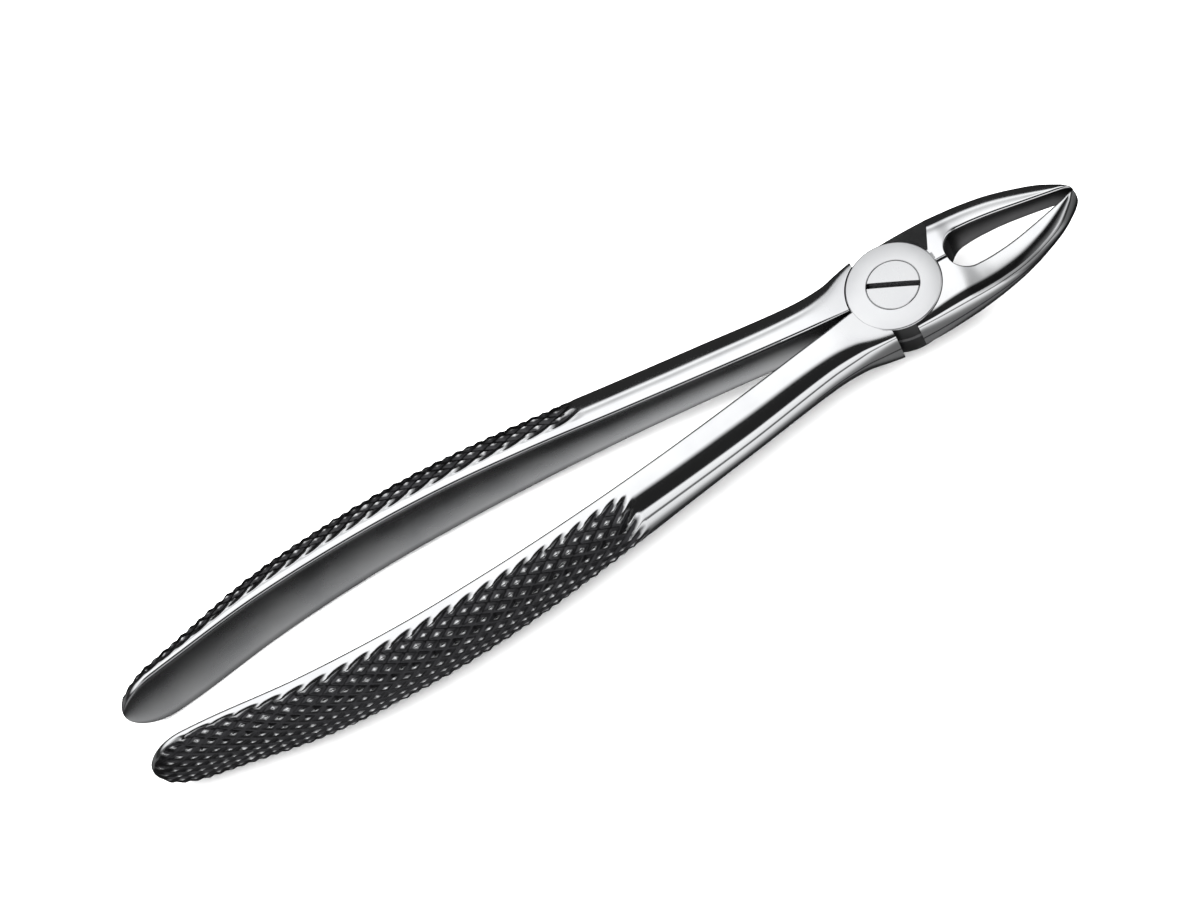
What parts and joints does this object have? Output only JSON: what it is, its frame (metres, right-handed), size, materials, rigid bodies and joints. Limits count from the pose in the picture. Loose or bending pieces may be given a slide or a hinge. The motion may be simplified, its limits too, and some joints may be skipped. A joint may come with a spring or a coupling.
{
  "type": "dental extraction forceps",
  "caption": "Straight dental extraction forceps for upper front teeth: two crossed forged halves on a lap joint with a slotted screw.",
  "frame": {"origin": "centre of the joint's back face, on the screw's axis", "axes": "+X from the handles to the beak tips, +Z along the screw's axis towards its slotted head, +Y towards the rear half's handle"},
  "size_m": [0.175, 0.0336, 0.0152],
  "materials": {
    "polished_steel": "polished shanks and beaks, satin joint faces, knurled grips",
    "screw_steel": "satin, ground flush"
  },
  "bodies": {
    "rear": {"rear_half": "polished_steel", "joint_screw": "screw_steel"},
    "front": {"front_half": "polished_steel"}
  },
  "joints": [
    {"name": "forceps_hinge", "type": "hinge", "parent": "rear", "child": "front", "pos_m": [0, 0, 0.0041], "axis": [0, 0, 1], "range_deg": [0, 24]}
  ]
}
